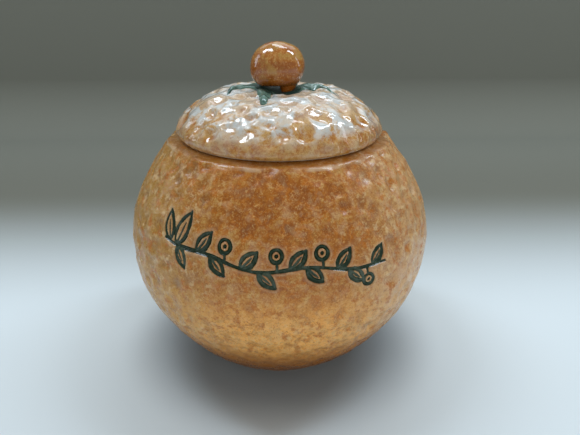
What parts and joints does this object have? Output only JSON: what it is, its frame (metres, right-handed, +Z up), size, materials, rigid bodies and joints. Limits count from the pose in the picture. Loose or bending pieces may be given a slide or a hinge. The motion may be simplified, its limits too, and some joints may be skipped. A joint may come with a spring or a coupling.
{
  "type": "lidded preserve pot",
  "caption": "Round glazed earthenware preserve pot shaped as an orange, with a domed lift-off lid, star calyx and ball knob.",
  "frame": {"origin": "centre of the base, on the plane the pot stands on", "axes": "+Z up through the lid's knob; -Y is the decorated side; +X is to the right of someone facing it"},
  "size_m": [0.115, 0.115, 0.1229],
  "materials": {
    "pot_glaze": "glossy",
    "lid_glaze": "glossy",
    "knob_glaze": "glossy",
    "calyx_glaze": "glossy"
  },
  "bodies": {
    "root": {"pot": "pot_glaze", "lid": "lid_glaze", "calyx": "calyx_glaze", "knob": "knob_glaze"}
  },
  "joints": []
}
